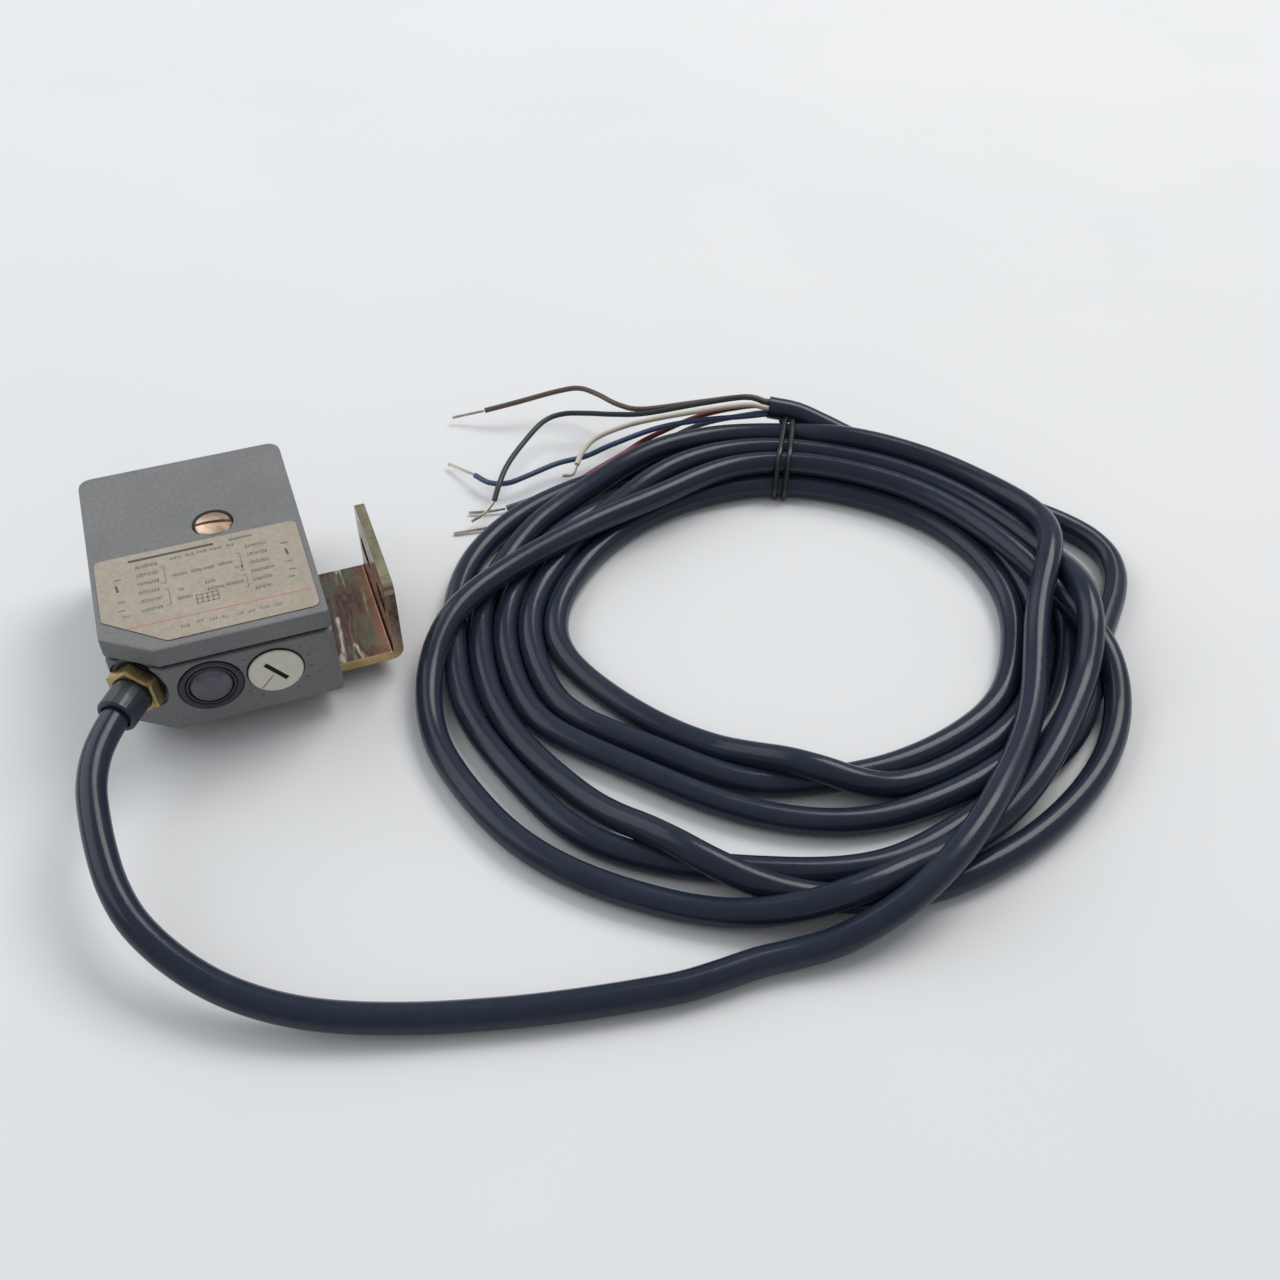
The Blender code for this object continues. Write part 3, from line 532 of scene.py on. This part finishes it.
def cable_sheath():
    """Blue-black sheath with a soft gloss, dust and faint rub marks along its length."""
    finish = Finish("cable_sheath", 0.22, 0.0, Specular_IOR_Level=0.28)
    broad = finish.noise(38.0, 6.0, 0.65)
    base = finish.ramp(broad, [(0.3, (0.012, 0.018, 0.033)), (0.7, (0.021, 0.029, 0.049))])
    dust = finish.ramp(finish.noise(620.0, 6.0, 0.8), [(0.68, (0.0, 0.0, 0.0)), (0.84, (0.4, 0.4, 0.4))])
    finish.colour(finish.mix(dust, base, (0.10, 0.10, 0.105)))
    finish.roughness(finish.span(finish.noise(240.0, 6.0, 0.7), 0.15, 0.28))
    finish.bump(finish.noise(420.0, 5.0, 0.6), 0.05, 0.6)
    finish.bump(finish.noise(3200.0, 2.0), 0.01, 0.5)
    return finish.material


def zinc_plate():
    """Yellow-passivated zinc: dark streaks of violet, green and brown, with lighter yellow-green and copper
    edges that are partly the coating's colour and partly painted highlight.
    """
    finish = Finish("zinc_plate", 0.26, 1.0)
    turned = finish.stretched((1.6, 0.34, 1.0), (0.0, 0.0, -0.16))
    streaks = finish.noise(120.0, 6.0, 0.6, 0.7, turned)
    base = finish.ramp(streaks, [(0.30, (0.060, 0.075, 0.065)), (0.40, (0.150, 0.180, 0.130)),
                                 (0.47, (0.180, 0.120, 0.080)), (0.53, (0.100, 0.075, 0.075)),
                                 (0.59, (0.240, 0.140, 0.130)), (0.66, (0.380, 0.320, 0.190))])
    glints = finish.ramp(finish.noise(210.0, 4.0, 0.55, 0.5, turned),
                          [(0.58, (0.0, 0.0, 0.0)), (0.66, (0.9, 0.9, 0.9))])
    base = finish.mix(glints, base, (0.70, 0.68, 0.54))
    axes = finish.tree.nodes.new("ShaderNodeSeparateXYZ")
    finish.link(finish.place, axes.inputs[0])
    tone = finish.noise(90.0, 5.0, 0.6)
    russet = finish.ramp(tone, [(0.35, (0.170, 0.085, 0.055)), (0.65, (0.290, 0.170, 0.120))])
    base = finish.mix(finish.span(axes.outputs[0], 0.0, 1.0, 27.0 * MM, 29.5 * MM), base, russet)
    # Lighter edges, partly the coating's own colour and partly painted highlight: yellow-green along the top
    # edge of the upright leg, gold and copper on the near end faces of the plate and the leg.
    top_edge_highlight = finish.ramp(tone, [(0.35, (0.30, 0.28, 0.17)), (0.65, (0.44, 0.41, 0.27))])
    copper = finish.ramp(tone, [(0.35, (0.50, 0.33, 0.24)), (0.65, (0.62, 0.46, 0.36))])
    gold = finish.ramp(tone, [(0.35, (0.42, 0.32, 0.13)), (0.65, (0.60, 0.42, 0.24))])
    base = finish.mix(finish.span(axes.outputs[2], 0.0, 1.0, 25.6 * MM, 26.3 * MM), base, top_edge_highlight)
    near_edge_highlight = finish.mix(finish.span(axes.outputs[2], 0.0, 1.0, 6.5 * MM, 9.0 * MM), gold, copper)
    finish.colour(finish.mix(finish.span(axes.outputs[1], 1.0, 0.0, -21.0 * MM, -20.6 * MM), base, near_edge_highlight))
    finish.roughness(finish.span(finish.noise(330.0, 6.0, 0.7), 0.16, 0.38))
    finish.bump(finish.noise(900.0, 3.0, 0.6, 0.0, turned), 0.02, 0.4)
    finish.bump(finish.noise(1500.0, 4.0), 0.012, 0.4)
    return finish.material


def turned_metal(name, low, high, roughness, patch=160.0):
    finish = Finish(name, roughness, 1.0)
    finish.colour(finish.ramp(finish.noise(patch, 6.0, 0.65, 0.5), [(0.3, low), (0.7, high)]))
    finish.roughness(finish.span(finish.noise(700.0, 5.0, 0.7), roughness * 0.75, roughness * 1.5))
    finish.bump(finish.noise(2400.0, 4.0, 0.7), 0.012, 0.6)
    return finish.material


def label_paper():
    """Cream film, yellowed unevenly, with a faint mottle and dull marks from handling."""
    finish = Finish("label_paper", 0.5, 0.0, Specular_IOR_Level=0.4)
    base = finish.ramp(finish.noise(60.0, 6.0, 0.6),
                        [(0.3, (0.365, 0.318, 0.252)), (0.7, (0.409, 0.365, 0.296))])
    mottle = finish.ramp(finish.noise(750.0, 5.0, 0.7),
                        [(0.35, (0.748, 0.748, 0.748)), (0.6, (1.0, 1.0, 1.0))])
    base = finish.mix(0.6, base, mottle, "MULTIPLY")
    rubbed = finish.ramp(finish.noise(170.0, 7.0, 0.7, 1.0),
                        [(0.62, (0.000, 0.000, 0.000)), (0.75, (0.304, 0.304, 0.304))])
    finish.colour(finish.mix(rubbed, base, (0.313, 0.287, 0.244)))
    finish.roughness(finish.span(finish.noise(500.0, 4.0), 0.42, 0.62))
    finish.bump(finish.noise(1300.0, 3.0), 0.008, 0.5)
    return finish.material


def knob_plastic():
    """Cream plastic, with painted shade in the slots cut into it."""
    finish = Finish("knob_plastic", 0.45, 0.0, Specular_IOR_Level=0.4)
    base = finish.ramp(finish.noise(90.0, 5.0, 0.6), [(0.3, (0.66, 0.64, 0.52)), (0.7, (0.76, 0.72, 0.60))])
    axes = finish.tree.nodes.new("ShaderNodeSeparateXYZ")
    finish.link(finish.place, axes.inputs[0])
    # painted shade: from a little behind the knob's face inwards the colour goes near black, so the insides
    # of the slots carry painted shade
    painted_slot_shade = finish.span(axes.outputs[1], 0.0, 1.0, -29.92 * MM, -29.6 * MM)
    finish.colour(finish.mix(painted_slot_shade, base, (0.045, 0.043, 0.032)))
    finish.roughness(finish.span(finish.noise(500.0, 4.0), 0.36, 0.55))
    finish.bump(finish.noise(2200.0, 3.0), 0.012)
    return finish.material


def dark_dome():
    """Smoky violet indicator lens."""
    finish = Finish("dark_dome", 0.16, 0.0, Specular_IOR_Level=0.5, Coat_Weight=0.3, Coat_Roughness=0.12)
    finish.colour(finish.ramp(finish.noise(300.0, 4.0),
                              [(0.35, (0.066, 0.068, 0.092)), (0.7, (0.088, 0.084, 0.112))]))
    finish.roughness(finish.span(finish.noise(900.0, 5.0, 0.7), 0.12, 0.30))
    finish.bump(finish.noise(500.0, 3.0), 0.02, 0.3)
    return finish.material


def clear_part(name, colour):
    finish = Finish(name, 0.08, 0.0, Transmission_Weight=0.85, IOR=1.49)
    finish.colour(finish.ramp(finish.noise(200.0, 3.0), [(0.3, tinted(colour, 0.94)), (0.7, colour)]))
    finish.roughness(finish.span(finish.noise(900.0, 4.0), 0.05, 0.14))
    finish.bump(finish.noise(700.0, 2.0), 0.005, 0.3)
    return finish.material


def ink(name, colour):
    """Print with thin, broken places."""
    finish = Finish(name, 0.55, 0.0)
    worn = finish.ramp(finish.noise(2100.0, 5.0, 0.7), [(0.38, colour), (0.66, tinted(colour, 2.3))])
    finish.colour(worn)
    finish.roughness(finish.span(finish.noise(900.0, 3.0), 0.45, 0.7))
    finish.bump(finish.noise(2500.0, 3.0), 0.004, 0.5)
    return finish.material


FINISHES = {
    "grey_paint": painted_metal(),
    "rubber": simple_finish("soft_rubber", (0.019, 0.022, 0.029), 0.38, vary=0.3, grain=1800.0, depth=0.02),
    "sleeve": simple_finish("sleeve_rubber", (0.013, 0.018, 0.028), 0.34, vary=0.3, grain=1800.0, depth=0.02),
    "bezel": simple_finish("bezel_moulding", (0.026, 0.029, 0.039), 0.38,
        vary=0.25, grain=1500.0, depth=0.015),
    "copper_screw": turned_metal("screw_copper", (0.44, 0.32, 0.23), (0.62, 0.46, 0.36), 0.30),
    "brass": turned_metal("gland_brass", (0.16, 0.15, 0.07), (0.62, 0.42, 0.20), 0.30, 170.0),
    "label": label_paper(),
    "cream_plastic": knob_plastic(),
    "dark_lens": dark_dome(),
    "red_window": simple_finish("red_filter", (0.09, 0.006, 0.010), 0.10,
        vary=0.25, depth=0.004, grain=900.0),
    "clear_lens": clear_part("clear_glass", (0.85, 0.88, 0.90)),
    "black_plastic": simple_finish("black_moulding", (0.028, 0.028, 0.030), 0.48, vary=0.2),
    "board": simple_finish("board_green", (0.02, 0.13, 0.05), 0.40, vary=0.3, patch=300.0),
    "zinc": zinc_plate(),
    "steel": turned_metal("plain_steel", (0.36, 0.35, 0.33), (0.60, 0.59, 0.57), 0.34),
    "cable": cable_sheath(),
    "bare_copper": turned_metal("tinned_copper", (0.42, 0.38, 0.33), (0.72, 0.66, 0.58), 0.35, 600.0),
    "wire_brown": simple_finish("core_brown", (0.115, 0.072, 0.055), 0.48, grain=1500.0),
    "wire_black": simple_finish("core_black", (0.020, 0.026, 0.028), 0.42, vary=0.3, grain=1500.0),
    "wire_white": simple_finish("core_white", (0.58, 0.52, 0.43), 0.50, vary=0.12, grain=1500.0),
    "wire_blue": simple_finish("core_blue", (0.035, 0.062, 0.135), 0.45, grain=1500.0),
    "wire_green": simple_finish("core_green", (0.085, 0.12, 0.125), 0.48, grain=1500.0),
    "wire_red": simple_finish("core_red", (0.20, 0.020, 0.030), 0.45, grain=1500.0),
}

OWN_FINISH = {"strain_relief": "sleeve", "window_bezel": "bezel"}
ON_NODES = {row["node"]: row["material_slot"] for row in frame["record"].get("subparts", [])
            if "material_slot" in row}
for node, thing in nodes.items():
    names = [slot.material.name.split(".")[0] if slot.material else "" for slot in thing.material_slots]
    wanted = OWN_FINISH.get(node) or ON_NODES.get(node) or (names[0] if names else "")
    if wanted in FINISHES:
        for slot in thing.material_slots:
            slot.material = FINISHES[wanted]


def dress(piece, material):
    piece.data.materials.clear()
    piece.data.materials.append(material)


dress(cable, FINISHES["cable"])
dress(tie, simple_finish("tie_plastic", (0.012, 0.012, 0.015), 0.30, vary=0.3, grain=1500.0, depth=0.03))
for name, (wire, _) in wires.items():
    dress(wire, FINISHES["wire_" + name])
    dress(strands[name], FINISHES["bare_copper"])


# ---- print on the label and the control face ----------------------------------------------------

LABEL_TOP = 25.03


def bar(bm, x, y, width, height, low, turn=0.0, thickness=0.02, across=None):
    """A thin block with cut corners, lying on the label or on the control face, in housing millimetres."""
    cut = min(width, height) * 0.22
    half_x, half_y = width / 2, height / 2
    outline = [(-half_x + cut, -half_y), (half_x - cut, -half_y), (half_x, -half_y + cut),
               (half_x, half_y - cut),
               (half_x - cut, half_y), (-half_x + cut, half_y), (-half_x, half_y - cut),
               (-half_x, -half_y + cut)]
    c, s = math.cos(turn), math.sin(turn)
    flat = [(x + u * c - v * s, y + u * s + v * c) for u, v in outline]
    if across is None:
        rows = [[bm.verts.new((HOUSING + Vector((u, v, h))) * MM) for u, v in flat]
                for h in (low, low + thickness)]
    else:
        rows = [[bm.verts.new((HOUSING + Vector((u, across - h, v))) * MM) for u, v in flat]
                for h in (0, thickness)]
    bm.faces.new(rows[0][::-1])
    bm.faces.new(rows[1])
    for index in range(len(outline)):
        bm.faces.new((rows[0][index - 1], rows[0][index], rows[1][index], rows[1][index - 1]))


def words(bm, rng, x, y, length, height=1.0, stroke=0.34, gap=0.16):
    """A run of short strokes that reads as faded small print."""
    at = x
    while at < x + length:
        wide = stroke * rng.uniform(0.6, 1.5)
        tall = height * rng.uniform(0.8, 1.3)
        bar(bm, at + wide / 2, y + rng.uniform(-0.12, 0.12), wide, tall, LABEL_TOP, rng.uniform(-0.1, 0.1))
        at += wide + gap * rng.uniform(0.5, 1.6)


def add_label_print():
    rng = random.Random(11)
    red, dark, faint = bmesh.new(), bmesh.new(), bmesh.new()
    bar(dark, 18.0, 30.7, 19.0, 0.75, LABEL_TOP)
    bar(faint, 33.6, 30.9, 5.2, 0.75, LABEL_TOP)
    for x, y in ((5.4, 22.2), (42.8, 22.4)):
        bar(dark, x, y, 0.5, 2.3, LABEL_TOP, 0.12)
    for x, y in ((5.8, 25.2), (5.9, 17.5), (5.7, 14.7), (6.6, 12.6), (42.7, 25.6), (42.8, 18.9), (43.0, 16.0),
                 (42.4, 13.6)):
        bar(faint, x, y, 1.5, 0.5, LABEL_TOP, rng.uniform(-0.1, 0.1))
    for row in range(6):
        y = 28.2 - row * 2.98
        words(faint, rng, 9.9, y, 4.6 - 0.2 * (row % 2), 1.0)
        words(faint, rng, 34.2, y - 0.9, 4.8 - 0.5 * (row % 3), 1.0)
    for x, low, high in ((15.9, 20.8, 26.6), (16.1, 13.4, 18.6), (32.6, 19.4, 25.4), (32.9, 13.4, 17.6)):
        bar(faint, x, (low + high) / 2, 0.22, high - low, LABEL_TOP)
        bar(faint, x - 0.4, high, 0.9, 0.22, LABEL_TOP)
        bar(faint, x - 0.4, low, 0.9, 0.22, LABEL_TOP)
    for x, y, length in ((17.5, 28.6, 2.4), (21.0, 28.8, 1.6), (23.6, 28.9, 2.0), (26.4, 28.9, 2.8),
                         (30.2, 29.0, 1.6),
                         (24.0, 18.0, 1.9), (18.2, 17.6, 1.2), (31.0, 20.8, 1.4)):
        words(faint, rng, x, y, length, 0.8)
    for x, y, length in ((17.4, 22.7, 3.2), (21.6, 22.8, 2.0), (24.2, 22.9, 2.6), (27.6, 23.0, 3.2),
                         (24.2, 15.6, 3.2), (28.2, 15.7, 3.6), (17.6, 14.6, 3.0)):
        words(faint, rng, x, y, length, 0.95, 0.3, 0.1)
    for column in range(5):
        bar(faint, 21.6 + column * 1.15, 13.0, 0.24, 3.0, LABEL_TOP)
    for row in range(3):
        bar(faint, 23.9, 11.7 + row * 1.35, 5.0, 0.24, LABEL_TOP)
    bar(red, 26.4, 8.35, 40.0, 0.22, LABEL_TOP, -0.008)
    for x in (17.2, 20.6, 23.4, 26.0, 29.2, 31.4, 34.0, 37.2):
        words(faint, rng, x, 5.6 + rng.uniform(-0.5, 0.6), rng.uniform(0.9, 1.9), 0.75, 0.26)
    pieces = []
    for name, bm, material in (
            ("label_marks_red", red, ink("ink_red", (0.32, 0.085, 0.080))),
            ("label_marks_dark", dark, ink("ink_dark", (0.040, 0.040, 0.038))),
            ("label_marks_faint", faint, ink("ink_faint", (0.115, 0.108, 0.088)))):
        piece = mesh_piece(name, bm)
        dress(piece, material)
        pieces.append(piece)
    return pieces


def add_scale_marks():
    """Short ticks round the knob, printed on the control face."""
    bm = bmesh.new()
    for step in range(13):
        angle = math.radians(-60 + 25 * step)
        x, z = 34.1 + 7.9 * math.cos(angle), 11.2 + 7.9 * math.sin(angle)
        if z < 18.0:
            bar(bm, x, z, 1.1, 0.26, 0, angle, 0.02, 0.0)
    piece = mesh_piece("scale_marks", bm)
    dress(piece, ink("ink_scale", (0.045, 0.048, 0.058)))


add_label_print()
add_scale_marks()


# ---- floor and light ----------------------------------------------------------------------------

def add_floor():
    bm = bmesh.new()
    bmesh.ops.create_grid(bm, x_segments=8, y_segments=8, size=2.0)
    mesh = bpy.data.meshes.new("floor")
    bm.to_mesh(mesh)
    bm.free()
    floor = bpy.data.objects.new("floor", mesh)
    scene.collection.objects.link(floor)
    finish = Finish("pale_floor", 0.7, 0.0, Specular_IOR_Level=0.25)
    finish.colour(finish.ramp(finish.noise(6.0, 3.0),
                              [(0.3, (0.745, 0.755, 0.765)), (0.7, (0.775, 0.782, 0.79))]))
    finish.bump(finish.noise(900.0, 3.0), 0.01, 0.3)
    dress(floor, finish.material)


def add_light(name, at, target, size, power, colour):
    data = bpy.data.lights.new(name, "AREA")
    data.shape = "RECTANGLE"
    data.size, data.size_y = size
    data.energy = power
    data.color = colour
    light = bpy.data.objects.new(name, data)
    scene.collection.objects.link(light)
    direction = Vector(target) - Vector(at)
    light.matrix_world = Matrix.Translation(at) @ direction.to_track_quat("-Z", "Y").to_matrix().to_4x4()


add_floor()
add_light("window", (1.1, 0.5, 1.5), (0.06, -0.04, 0.0), (1.1, 0.9), 19.0, (1.0, 0.985, 0.96))
add_light("back", (-1.0, 0.95, 1.15), (-0.05, 0.03, 0.0), (2.2, 1.6), 17.0, (0.96, 0.98, 1.0))
world = bpy.data.worlds.new("studio")
world.use_nodes = True
world.node_tree.nodes["Background"].inputs["Color"].default_value = (0.93, 0.96, 1.0, 1.0)
world.node_tree.nodes["Background"].inputs["Strength"].default_value = 0.42
scene.world = world
scene.view_settings.view_transform = "Standard"
scene.view_settings.look = "None"
